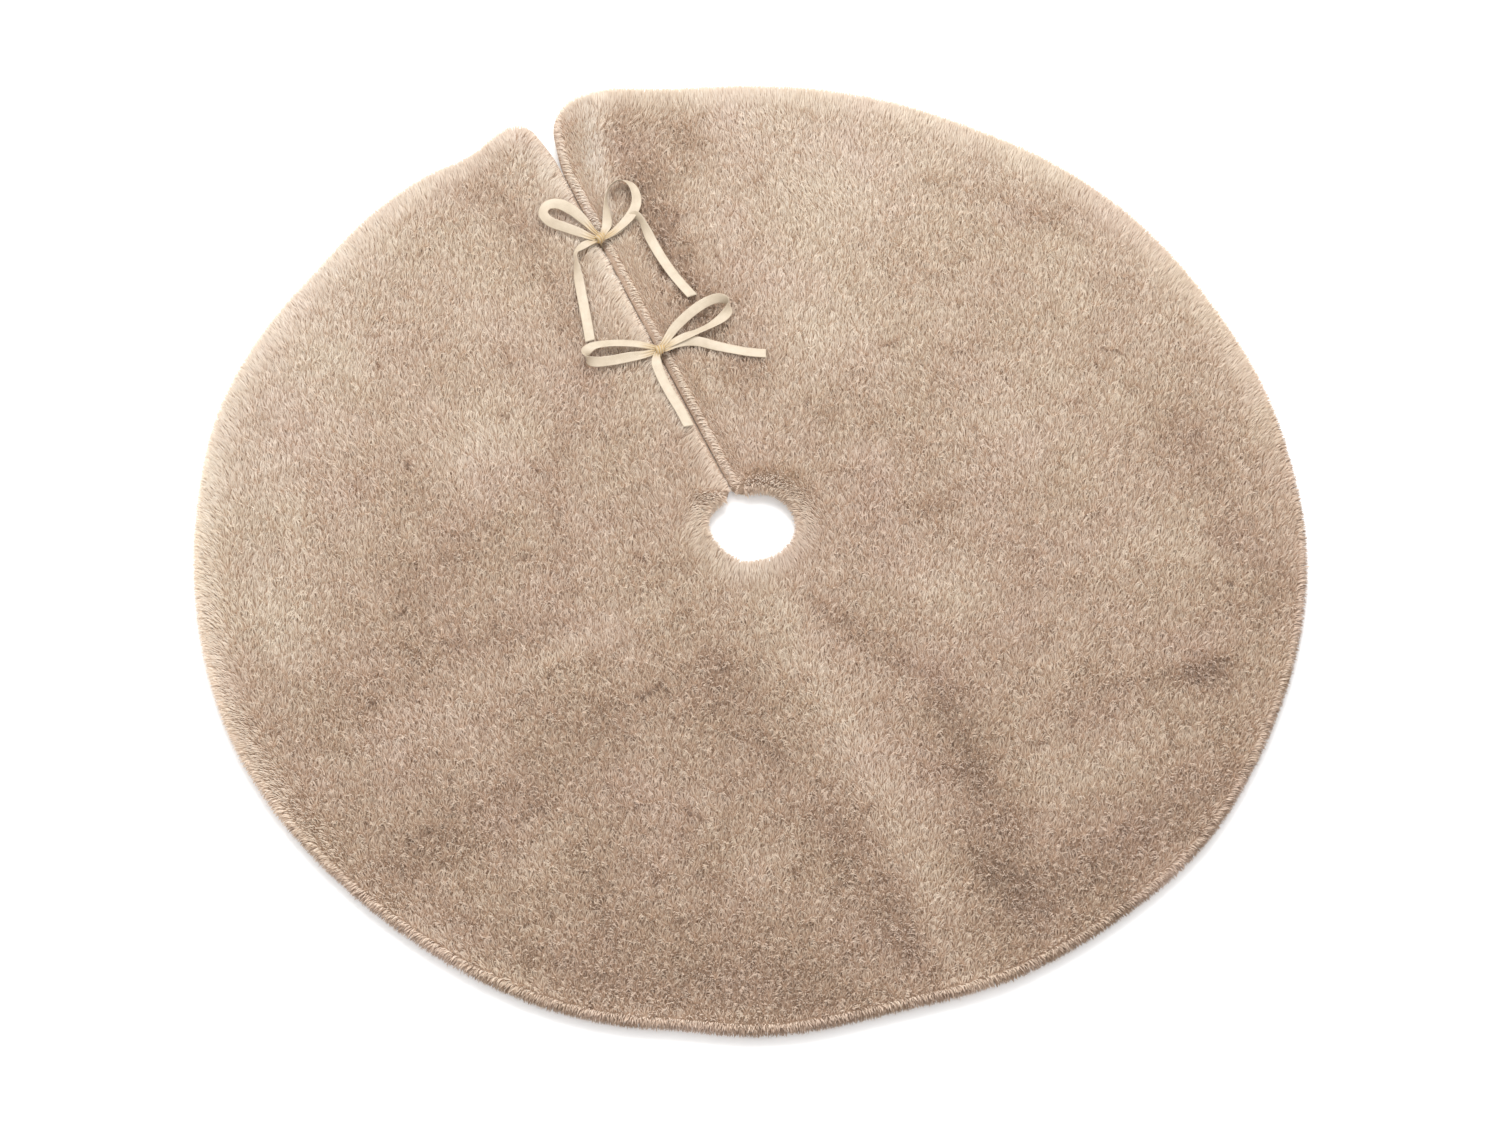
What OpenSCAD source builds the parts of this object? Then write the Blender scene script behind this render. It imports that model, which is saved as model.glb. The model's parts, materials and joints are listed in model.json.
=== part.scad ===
// Plush round tree skirt with a slit that two ribbon bows close.
// The frame's origin is the centre of the trunk hole on the floor, +Z is up,
// and the slit runs from the hole to the rim along +Y. Sizes are in millimetres.

/* [Skirt] */
// Diameter over the fur
skirt_d = 1070; // [900:10:1220]
// Diameter of the trunk hole between the fur tips
hole_d = 82; // [70:2:110]
// Height of the standing fur above its knitted ground cloth
pile_h = 20; // [16:1:24]
// How far the fur stands out past the sewn edge at the rim
rim_pile = 12; // [12:1:16]
// How far the fur stands out past the sewn edge at the trunk hole
hole_pile = 9; // [9:1:12]
// How far the fur stands out past the sewn edge along the slit
slit_pile = 6; // [6:1:9]

/* [Cloth] */
// Thickness of the woven lining
lining_t = 0.6; // [0.5:0.1:0.8]
// Thickness of the knitted ground cloth that carries the fur
ground_t = 1.2; // [1:0.1:1.6]
// Thickness of the seam thread
thread_t = 0.8; // [0.6:0.1:0.9]

/* [Slit] */
// Radius of each rounded fur lip along the slit
lip_r = 9; // [7:1:10]
// Distance from the hole's centre to where the slit starts to open
mouth_start = 400; // [390:5:410]
// Width of the open mouth at the rim
mouth_w = 24; // [16:2:30]
// Radius of the rounded corners at the mouth
corner_r = 25; // [22:1:30]

/* [Ribbon ties] */
// Width of the ribbon
ribbon_w = 10; // [8:1:11]
// Thickness of the ribbon with its finish
ribbon_t = 0.8; // [0.6:0.1:0.9]
// Width of the ribbon where the knot gathers it
gather_w = 3.4; // [2.6:0.2:3.6]
// Distance from the hole's centre to the inner bow
inner_bow_y = 216; // [210:2:230]
// Distance from the hole's centre to the outer bow
outer_bow_y = 365; // [355:5:370]
// Greatest radius of a knot
knot_r = 5; // [4.8:0.1:5]

/* [Label] */
// Length of the blank sewn-in label
label_l = 30; // [20:1:40]
// Width of the blank sewn-in label
label_w = 18; // [12:1:24]

/* [Hidden] */

$fn = 120;
skirt_r = skirt_d / 2;
hole_r = hole_d / 2;
// half the gap between the two halves, which fold against each other about the Y line
half_gap = 0.15;
// the fur wraps down past the sewn edge but stays off the floor
pile_low = 0.4;
ground_top = lining_t + ground_t;
pile_top = ground_top + pile_h;
rim_round = (pile_top - pile_low) / 2;
hole_round = 6;
// half the mouth's width at the rim, and how far past the rim its sides are drawn
mouth_half = mouth_w / 2;
past_rim = 5;
// clearance that the fur leaves round the seam thread, the tacks and the stitches
tack_t = 1;
stitch_t = 0.7;
seam_room = thread_t + stitch_t + 0.1;
root_gap = 0.35;
root_t = 1;

// the knots sit between the lips, just clear of the fur
knot_z = pile_top + 1.8;
knot_waist = knot_r - 1.3;
knot_band = knot_r - 0.6;
knot_band_w = 4.4;
// loops and tails leave the knot at this distance from its centre and lie on the fur
leave_r = 6;
ribbon_z = pile_top + 0.4;

// each loop: direction it leaves the knot in, length and half width of its middle line
outer_left_loop_shape = [128, 56, 11];
outer_right_loop_shape = [50, 62, 12];
inner_left_loop_shape = [166, 64, 9];
inner_right_loop_shape = [16, 76, 10];

// each tail's middle line, from the knot's centre
outer_left_tail_route = [[-6, -1], [-22, -3], [-34, -18], [-40, -50], [-57, -108]];
outer_right_tail_route = [[6, -1], [24, -3], [40, -8], [46, -28], [48, -66], [55, -102]];
inner_left_tail_route = [[-2, -5.7], [-9, -22], [-11, -45], [-9, -91]];
inner_right_tail_route = [[4.6, -3.9], [22, -13], [40, -18], [66, -30], [93, -45]];

// the gap left for turning the skirt out, closed by hand, on the left rim
stitches = 12;
stitch_first = 196;
stitch_step = 1.1;

label_x = -60;
label_y = 440;
label_t = 0.3;

// -- plan shapes, drawn for the right half --

// Right half inside the rim, hole and slit, with its edge drawn in by the three insets
module right_plan(rim_inset, hole_inset, slit_inset) {
    fillet = corner_r - rim_inset / 2;
    edge = half_gap + slit_inset;
    rim = skirt_r - rim_inset;
    corner_x = mouth_half + slit_inset + fillet;
    corner_y = sqrt(pow(rim - fillet, 2) - pow(corner_x, 2));
    difference() {
        circle(r = rim);
        circle(r = hole_r + hole_inset);
        translate([-2 * skirt_r + half_gap, -skirt_r - 1])
            square([2 * skirt_r, 2 * skirt_r + 2]);
        polygon([[-1, 0], [edge, 0], [edge, mouth_start],
                 [mouth_half + slit_inset, skirt_r + past_rim], [-1, skirt_r + past_rim]]);
        difference() {
            translate([0, corner_y])
                square([corner_x, skirt_r - corner_y + past_rim]);
            translate([corner_x, corner_y])
                circle(r = fillet);
        }
    }
}

// A flat piece of the right half between two heights
module right_sheet(rim_inset, hole_inset, slit_inset, low, high) {
    translate([0, 0, low])
        linear_extrude(height = high - low)
            right_plan(rim_inset, hole_inset, slit_inset);
}

module on_left() {
    mirror([1, 0, 0])
        children();
}

// -- cloth --

module lining_half() {
    right_sheet(rim_pile + 1, hole_pile, slit_pile, 0, lining_t);
}

module ground_half() {
    right_sheet(rim_pile + 1, hole_pile, slit_pile, lining_t, ground_top);
}

module edge_seam_half() {
    low = lining_t - 0.3;
    high = lining_t + 0.7;
    difference() {
        right_sheet(rim_pile + 1 - thread_t, hole_pile - thread_t, slit_pile - thread_t, low, high);
        right_sheet(rim_pile + 1, hole_pile, slit_pile, low - 1, high + 1);
    }
}

// -- fur --

// Section of the fur from the trunk hole to the rim
module pile_section() {
    rim_x = skirt_r - rim_round;
    hole_x = hole_r + hole_round;
    translate([hole_x, pile_low])
        square([rim_x - hole_x, pile_top - pile_low]);
    translate([rim_x, pile_low + rim_round])
        circle(r = rim_round);
    for (z = [pile_low + hole_round, pile_top - hole_round])
        translate([hole_x, z])
            circle(r = hole_round);
    translate([hole_r, pile_low + hole_round])
        square([hole_round, pile_top - pile_low - 2 * hole_round]);
}

// What rounds off the top of the fur along the slit
module lip_cut() {
    rotate([90, 0, 0])
        translate([0, 0, -skirt_r - past_rim])
            linear_extrude(height = skirt_r + past_rim)
                difference() {
                    translate([-1, pile_top - lip_r])
                        square([lip_r + half_gap + 1, lip_r + 1]);
                    translate([lip_r + half_gap, pile_top - lip_r])
                        circle(r = lip_r);
                }
}

// The slots in the fur that the two ribbon roots come up through, and their feet lie in
module root_slots() {
    for (y = [inner_bow_y, outer_bow_y])
        translate([-1, y - ribbon_w / 2 - root_gap, -1]) {
            cube([1 + half_gap + 2 * root_gap + root_t, ribbon_w + 2 * root_gap, pile_top + 2]);
            cube([1 + half_gap + slit_pile, ribbon_w + 2 * root_gap, 1 + ground_top]);
        }
}

module fur_half() {
    difference() {
        intersection() {
            rotate_extrude()
                pile_section();
            right_sheet(0, 0, 0, -1, pile_top + 1);
        }
        right_sheet(rim_pile + 1 - seam_room, hole_pile - seam_room,
                    slit_pile - thread_t - tack_t, -1, ground_top);
        lip_cut();
        root_slots();
    }
}

// -- ribbon ties --

// Tacks that hold the ribbon ends in the slit's seam
module bar_tacks_half() {
    for (y = [inner_bow_y, outer_bow_y])
        translate([half_gap + slit_pile - thread_t - tack_t, y - ribbon_w / 2, lining_t - 0.3])
            cube([tack_t, ribbon_w, 1]);
}

// The stretch of each ribbon from its tack up between the lips to the knot
module ribbon_roots_half() {
    for (y = [inner_bow_y, outer_bow_y])
        translate([half_gap + root_gap, y - ribbon_w / 2, lining_t - 0.3]) {
            cube([slit_pile - thread_t - tack_t - root_gap, ribbon_w, 1]);
            cube([root_t, ribbon_w, pile_top - lip_r - lining_t]);
        }
}

module knot() {
    translate([0, 0, knot_z])
        rotate([-90, 0, 0])
            rotate_extrude()
                intersection() {
                    translate([0, -knot_r])
                        square([knot_r, 2 * knot_r]);
                    circle(r = knot_r);
                    union() {
                        translate([0, -knot_r])
                            square([knot_waist, 2 * knot_r]);
                        translate([0, -knot_band_w / 2])
                            square([knot_band, knot_band_w]);
                    }
                }
}

function curve(a, b, c, d, t) =
    0.5 * (2 * b + (c - a) * t + (2 * a - 5 * b + 4 * c - d) * t * t
           + (3 * b - a - 3 * c + d) * t * t * t);

// Points along a smooth line through the given ones
function smooth(p, steps) = let (last = len(p) - 1)
    [for (i = [0:last - 1]) for (k = [0:steps - 1])
        curve(p[max(i - 1, 0)], p[i], p[i + 1], p[min(i + 2, last)], k / steps),
     p[last]];

function normal(p, i) = let (d = p[min(i + 1, len(p) - 1)] - p[max(i - 1, 0)])
    [-d[1], d[0]] / norm(d);

// Half the ribbon's width at point i of n, gathered over its first share
function half_width(i, n, share) =
    (gather_w + (ribbon_w - gather_w) * min(1, i / (n * share))) / 2;

function edge_points(p, share, side) =
    [for (i = [0:len(p) - 1]) p[i] + side * half_width(i, len(p) - 1, share) * normal(p, i)];

function reversed(p) = [for (i = [len(p) - 1:-1:0]) p[i]];

// A flat strip of ribbon along a line of points, gathered at its start
module strip(p, share) {
    translate([0, 0, ribbon_z])
        linear_extrude(height = ribbon_t)
            polygon(concat(edge_points(p, share, 1), reversed(edge_points(p, share, -1))));
}

// A drop-shaped middle line in the loop's own direction, from t = first to t = last
function drop(shape, first, last, steps) =
    [for (k = [0:steps]) let (t = first + (last - first) * k / steps,
                              along = leave_r + shape[1] * (1 - cos(360 * t)) / 2,
                              across = 1.3 * shape[2] * sin(360 * t) * sin(180 * t))
        [along * cos(shape[0]) - across * sin(shape[0]),
         along * sin(shape[0]) + across * cos(shape[0])]];

module loop(bow_y, shape) {
    translate([0, bow_y, 0]) {
        strip(drop(shape, 0, 0.51, 20), 0.45);
        strip(drop(shape, 1, 0.49, 20), 0.45);
    }
}

module tail(bow_y, route) {
    translate([0, bow_y, 0])
        strip(smooth(route, 6), 0.3);
}

// -- small trim --

module stitch_row() {
    for (i = [0:stitches - 1])
        rotate(stitch_first + i * stitch_step)
            translate([skirt_r - rim_pile - 1 + thread_t, -2, lining_t - 0.3])
                cube([stitch_t, 4, 1]);
}

module label_blank(extra) {
    translate([label_x, label_y, -extra])
        cube([label_l, label_w, label_t + extra]);
}

// -- named nodes --

module left_lining() {
    color("antiquewhite")
        difference() {
            on_left() lining_half();
            label_blank(1);
        }
}

module right_lining() {
    color("antiquewhite") lining_half();
}

module left_fur_ground() {
    color("tan") on_left() ground_half();
}

module right_fur_ground() {
    color("tan") ground_half();
}

module left_fur_pile() {
    color([0.80, 0.70, 0.62]) on_left() fur_half();
}

module right_fur_pile() {
    color([0.82, 0.72, 0.64]) fur_half();
}

module left_edge_seam() {
    color("linen") on_left() edge_seam_half();
}

module right_edge_seam() {
    color("linen") edge_seam_half();
}

module left_bar_tacks() {
    color("ivory") on_left() bar_tacks_half();
}

module right_bar_tacks() {
    color("ivory") bar_tacks_half();
}

module left_ribbon_roots() {
    color("cornsilk") on_left() ribbon_roots_half();
}

module right_ribbon_roots() {
    color("cornsilk") ribbon_roots_half();
}

module outer_knot() {
    color("wheat") translate([0, outer_bow_y, 0]) knot();
}

module inner_knot() {
    color("wheat") translate([0, inner_bow_y, 0]) knot();
}

module outer_left_loop() {
    color("cornsilk") loop(outer_bow_y, outer_left_loop_shape);
}

module outer_right_loop() {
    color("cornsilk") loop(outer_bow_y, outer_right_loop_shape);
}

module inner_left_loop() {
    color("cornsilk") loop(inner_bow_y, inner_left_loop_shape);
}

module inner_right_loop() {
    color("cornsilk") loop(inner_bow_y, inner_right_loop_shape);
}

module outer_left_tail() {
    color("cornsilk") tail(outer_bow_y, outer_left_tail_route);
}

module outer_right_tail() {
    color("cornsilk") tail(outer_bow_y, outer_right_tail_route);
}

module inner_left_tail() {
    color("cornsilk") tail(inner_bow_y, inner_left_tail_route);
}

module inner_right_tail() {
    color("cornsilk") tail(inner_bow_y, inner_right_tail_route);
}

module turning_gap_stitches() {
    color("linen") stitch_row();
}

module care_label() {
    color("white") label_blank(0);
}

left_lining();
right_lining();
left_fur_ground();
right_fur_ground();
left_fur_pile();
right_fur_pile();
left_edge_seam();
right_edge_seam();
left_bar_tacks();
right_bar_tacks();
left_ribbon_roots();
right_ribbon_roots();
outer_knot();
inner_knot();
outer_left_loop();
outer_right_loop();
inner_left_loop();
inner_right_loop();
outer_left_tail();
outer_right_tail();
inner_left_tail();
inner_right_tail();
turning_gap_stitches();
care_label();
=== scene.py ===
"""Looks of a round plush tree skirt: fur, cloth, ribbon bows, stitches, label, lights and camera.

Lengths are millimetres in the CAD frame until mesh_object() turns them into Blender's metres.
The trunk hole's centre is the origin, the slit runs from it along +Y, and +Z is up.
"""
import json
import math

import bpy
import numpy as np
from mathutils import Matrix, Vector


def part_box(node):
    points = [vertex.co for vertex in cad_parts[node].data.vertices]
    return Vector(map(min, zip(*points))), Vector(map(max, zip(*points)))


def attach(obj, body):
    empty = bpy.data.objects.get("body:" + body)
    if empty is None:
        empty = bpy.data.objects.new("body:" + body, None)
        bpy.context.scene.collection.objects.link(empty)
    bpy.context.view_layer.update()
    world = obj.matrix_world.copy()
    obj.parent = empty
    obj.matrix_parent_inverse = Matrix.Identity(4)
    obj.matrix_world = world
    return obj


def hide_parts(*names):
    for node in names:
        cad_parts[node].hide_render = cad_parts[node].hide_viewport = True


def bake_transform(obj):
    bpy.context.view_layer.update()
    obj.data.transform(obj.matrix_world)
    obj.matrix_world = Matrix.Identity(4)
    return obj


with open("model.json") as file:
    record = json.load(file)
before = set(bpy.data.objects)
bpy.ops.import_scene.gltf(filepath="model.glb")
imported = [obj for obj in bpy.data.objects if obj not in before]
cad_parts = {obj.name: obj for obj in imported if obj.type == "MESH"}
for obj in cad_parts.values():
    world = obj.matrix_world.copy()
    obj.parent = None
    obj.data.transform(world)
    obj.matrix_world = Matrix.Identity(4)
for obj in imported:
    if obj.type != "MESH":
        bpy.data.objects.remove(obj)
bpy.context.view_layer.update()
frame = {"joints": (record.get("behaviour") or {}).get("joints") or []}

# -- sizes taken from the frame --


def node_box(node):
    """Lowest and highest corner of a CAD node, in mm."""
    low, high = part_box(node)
    return np.array(low) * 1000, np.array(high) * 1000


FUR_LOW, FUR_HIGH = node_box("left_fur_pile")
GROUND_LOW, GROUND_HIGH = node_box("left_fur_ground")
LINING_LOW, LINING_HIGH = node_box("left_lining")
KNOT_CENTRE = {bow: sum(node_box(bow + "_knot")) / 2 for bow in ("inner", "outer")}
SKIRT_R = -FUR_LOW[0]
PILE_TOP = FUR_HIGH[2]
RIM_INSET = SKIRT_R + GROUND_LOW[0]
ROUND_R = (PILE_TOP - FUR_LOW[2]) / 2
ROUND_Z = (PILE_TOP + FUR_LOW[2]) / 2

# -- sizes that the frame doesn't hold --

HOLE_R = 41
HOLE_INSET = 9
SLIT_INSET = 6
SLIT_GAP = 0.3
# the slit opens into a mouth at the rim by this much on each half
MOUTH_HALF_W = 13
# stretch of Y in which the two bows hold the slit shut
TIED_LOW, TIED_HIGH = 60, 430
# the rounded corners at the slit's mouth, on the right half and on the left one, and at the hole
MOUTH_CORNER = {1: 32, -1: 20}
HOLE_CORNER = 12
RIBBON_T = 0.4
# the fur's hairs grow from a skin this far inside the fur's outer surface
HAIR_DEPTH = 7.0
SKIN_R = ROUND_R - HAIR_DEPTH
# between the roots of the hairs, on the flat of the skin and on its rounded edge
TOP_SPACING = 1.55
EDGE_SPACING = 1.8
# a distance that is farther than any edge of the skirt
FAR = 1e3

# -- small maths --


def smoothstep(x, low, high):
    t = np.clip((x - low) / (high - low), 0, 1)
    return t * t * (3 - 2 * t)


def unit(v):
    return v / np.maximum(np.linalg.norm(v, axis=-1, keepdims=True), 1e-9)


def noise(x, y, scale, seed):
    """Smooth noise from about -1 to 1, with features about scale mm across."""
    table = np.random.default_rng(seed).uniform(-1, 1, (256, 256))
    u, v = x / scale + 64.5, y / scale + 64.5
    i, j = np.floor(u).astype(int), np.floor(v).astype(int)
    fu, fv = smoothstep(u - i, 0, 1), smoothstep(v - j, 0, 1)
    i0, i1, j0, j1 = i % 256, (i + 1) % 256, j % 256, (j + 1) % 256
    low = table[i0, j0] * (1 - fu) + table[i1, j0] * fu
    high = table[i0, j1] * (1 - fu) + table[i1, j1] * fu
    return low * (1 - fv) + high * fv


def slope(height, x, y, step):
    """How fast height(x, y) grows along X and along Y, measured over a step each way."""
    east = height(x + step, y) - height(x - step, y)
    north = height(x, y + step) - height(x, y - step)
    return np.stack([east, north], -1) / (2 * step)


def run_along(line):
    """Distance run at each point of a line."""
    return np.concatenate([[0], np.cumsum(np.linalg.norm(np.diff(line, axis=0), axis=1))])


def layered_noise(x, y, scale, seed, layers=3):
    """Noise at several scales, each half as large and half as strong as the one before."""
    total = sum(noise(x, y, scale / 2 ** k, seed + k) / 2 ** k for k in range(layers))
    return total / 1.4


def soft_spots(x, y, spots):
    """Sum of soft oval spots: each is x, y, half length, half width, direction in degrees, amount."""
    total = np.zeros_like(x, dtype=float)
    for cx, cy, length, width, direction, amount in spots:
        c, s = math.cos(math.radians(direction)), math.sin(math.radians(direction))
        u = ((x - cx) * c + (y - cy) * s) / length
        v = (-(x - cx) * s + (y - cy) * c) / width
        total = total + amount * np.exp(-u ** 2 - v ** 2)
    return total


# -- the skirt's plan --

# where the rim bulges or is drawn in: direction in degrees, height in mm, half width in degrees
RIM_BUMPS = [(3, -6, 14), (40, -3, 8), (83, 7, 6), (93.5, 3, 3), (98.5, -7, 4), (121, -5, 7), (142, 4, 8),
             (183, 3, 12), (225, 4, 12), (239, -4, 5), (260, -8, 9), (296, 5, 10), (344, -3, 8)]
HOLE_BUMPS = [(90, -7, 40), (265, -1, 40), (195, -5, 35), (330, 1, 25), (235, 2, 12)]


def wavy_radius(angle, radius, bumps):
    for centre, height, width in bumps:
        away = (angle - centre + 180) % 360 - 180
        radius = radius + height * np.exp(-(away / width) ** 2)
    return radius


def rim_radius(angle):
    return wavy_radius(angle, SKIRT_R, RIM_BUMPS)


def hole_radius(angle):
    return wavy_radius(angle, HOLE_R, HOLE_BUMPS)


def slit_gap(side, y):
    """Half width of the slit at y. side is 1 on the right half and -1 on the left one."""
    opening = np.where(side > 0, smoothstep(y, 455, 540), smoothstep(y, 470, 560))
    return SLIT_GAP + MOUTH_HALF_W * opening


def soft_corner(a, b, radius):
    """Distance from two edges that meet in a rounded corner, from the distances to each."""
    near = (a < radius) & (b < radius)
    return np.where(near, radius - np.hypot(radius - a, radius - b), np.minimum(a, b))


def rim_and_hole(x, y):
    """Distances in plan from the rim and from the hole's edge."""
    r, angle = np.hypot(x, y), np.degrees(np.arctan2(y, x))
    return rim_radius(angle) - r, r - hole_radius(angle)


def open_distance(x, y):
    """Distance in plan from the rim or the hole, without the slit."""
    return np.minimum(*rim_and_hole(x, y))


def edge_distance(x, y):
    """Distance in plan from the fur's outer edge, on whichever half the point is."""
    side = np.where(x < 0, -1, 1)
    rim, hole = rim_and_hole(x, y)
    slit = np.where(y > 0, side * x - slit_gap(side, y), FAR)
    mouth = np.where(side > 0, MOUTH_CORNER[1], MOUTH_CORNER[-1])
    return np.minimum(soft_corner(rim, slit, mouth), soft_corner(hole, slit, HOLE_CORNER))


def corner_cut(offset, radius):
    """How far a rounded corner draws the edge in at this distance from the other edge."""
    inside = np.clip(radius - offset, 0, radius)
    return radius - np.sqrt(radius ** 2 - inside ** 2)


# the grid's lines beside an edge, where the pieces are rounded, lie at these distances from it
EDGE_STEPS = [0, 0.35, 1, 2, 3.2, 4.8, 7, 10, 14, 20]


def plan_grid(rim_inset, hole_inset, slit_inset, angular=90, radial=44):
    """Plan positions of the skirt: rows from the hole to the rim, columns clockwise from the slit."""
    offsets = np.array(EDGE_STEPS, float)
    turns = np.linspace(0, 1, angular + 1)[1:]
    span = SKIRT_R - HOLE_R - rim_inset - hole_inset
    steps = np.concatenate([offsets, np.linspace(offsets[-1], span - offsets[-1], radial)[1:-1],
                            span - offsets[::-1]]) / span
    v = steps[:, None]
    from_slit = np.concatenate([offsets, np.full(angular, FAR)])[None, :]
    share = np.concatenate([np.zeros(len(offsets)), turns])[None, :]
    halves = []
    for side in (1, -1):
        r = HOLE_R + span * v + np.zeros_like(share)
        for _ in range(4):
            edge = slit_gap(side, r) + slit_inset
            first = np.arcsin(np.clip((edge + np.minimum(from_slit, offsets[-1])) / r, 0, 1))
            turn = first + (math.pi - first) * share
            angle = 90 - side * np.degrees(turn)
            rim = rim_radius(angle) - rim_inset - corner_cut(from_slit, MOUTH_CORNER[side] - rim_inset)
            hole = hole_radius(angle) + hole_inset + corner_cut(from_slit, HOLE_CORNER - slit_inset)
            r = hole + (rim - hole) * v
        halves.append((side * r * np.sin(turn), r * np.cos(turn)))
    (xr, yr), (xl, yl) = halves
    return np.hstack([xr, xl[:, -2::-1]]), np.hstack([yr, yl[:, -2::-1]])


def outline(x, y):
    """The edge of a plan grid as one closed line, and the distance run at each of its points."""
    line = np.concatenate([np.stack([x[0, ::-1], y[0, ::-1]], -1),
                           np.stack([x[1:, 0], y[1:, 0]], -1),
                           np.stack([x[-1, 1:], y[-1, 1:]], -1),
                           np.stack([x[-2:0:-1, -1], y[-2:0:-1, -1]], -1)])
    closed = np.vstack([line, line[:1]])
    return closed, run_along(closed)


# -- how the skirt lies --

# packing creases and raised places: x, y, half length, half width, direction, height
RISES = [(-8, -285, 210, 26, 91, 4.5), (-275, -64, 150, 14, 0, 2.5), (62, 520, 62, 46, 10, 13),
         (-36, 520, 30, 34, 100, 6), (-160, -160, 110, 10, 85, 1.2), (200, -270, 90, 14, 42, 1.5)]


def lift(x, y):
    """Height of the skirt's lining above the floor."""
    waves = 0.8 + 0.8 * layered_noise(x, y, 170, 11, 2)
    return waves * smoothstep(SKIRT_R - np.hypot(x, y), 0, 60) + soft_spots(x, y, RISES)


# -- building meshes --


def mesh_object(name, points, blocks, attributes=None):
    """A new object from points in mm and blocks of faces, each block with one row of corners per face."""
    sizes = np.concatenate([np.full(len(block), block.shape[1]) for block in blocks])
    corners = np.concatenate([block.ravel() for block in blocks]).astype(np.int32)
    starts = np.concatenate([[0], np.cumsum(sizes)[:-1]]).astype(np.int32)
    mesh = bpy.data.meshes.new(name)
    mesh.vertices.add(len(points))
    mesh.vertices.foreach_set("co", (np.asarray(points, float) * 0.001).ravel())
    mesh.loops.add(len(corners))
    mesh.loops.foreach_set("vertex_index", corners)
    mesh.polygons.add(len(sizes))
    mesh.polygons.foreach_set("loop_start", starts)
    mesh.update(calc_edges=True)
    mesh.validate()
    mesh.polygons.foreach_set("use_smooth", np.full(len(mesh.polygons), True))
    rest = mesh.attributes.new("rest", "FLOAT_VECTOR", "POINT")
    rest.data.foreach_set("vector", np.asarray(points, np.float32).ravel())
    for key, values in (attributes or {}).items():
        attribute = mesh.attributes.new(key, "FLOAT", "POINT")
        attribute.data.foreach_set("value", np.asarray(values, np.float32).ravel())
    piece = bpy.data.objects.new(name, mesh)
    bpy.context.scene.collection.objects.link(piece)
    return piece


def grid_faces(rows, columns, start=0, closed_columns=False, flip=False):
    """Quads of a grid of points whose index is start + row * columns + column."""
    last = columns if closed_columns else columns - 1
    i, j = np.meshgrid(np.arange(rows - 1), np.arange(last), indexing="ij")
    k = (j + 1) % columns
    quads = np.stack([i * columns + j, i * columns + k, (i + 1) * columns + k, (i + 1) * columns + j], -1)
    quads = quads.reshape(-1, 4) + start
    return quads[:, ::-1] if flip else quads


def closed_slab(name, x, y, top, bottom):
    """A closed solid between two height grids over the same plan grid."""
    rows, columns = x.shape
    size = rows * columns
    points = np.concatenate([np.stack([x, y, top], -1).reshape(-1, 3),
                             np.stack([x, y, bottom], -1).reshape(-1, 3)])
    index = np.arange(size).reshape(rows, columns)
    loop = np.concatenate([index[0, :-1], index[:-1, -1], index[-1, :0:-1], index[:0:-1, 0]])
    following = np.roll(loop, -1)
    wall = np.stack([loop, following, following + size, loop + size], -1)
    faces = [grid_faces(rows, columns), grid_faces(rows, columns, size, flip=True), wall[:, ::-1]]
    return mesh_object(name, points, faces)


def fold_with_skirt(piece):
    """Bakes the placement of a piece of the whole skirt into its mesh."""
    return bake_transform(piece)


# -- materials --


def srgb(r, g, b):
    """Blender's linear colour for an ordinary 0 to 255 colour."""
    linear = [(c / 255 / 12.92) if c < 10 else ((c / 255 + 0.055) / 1.055) ** 2.4 for c in (r, g, b)]
    return (*linear, 1)


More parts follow.
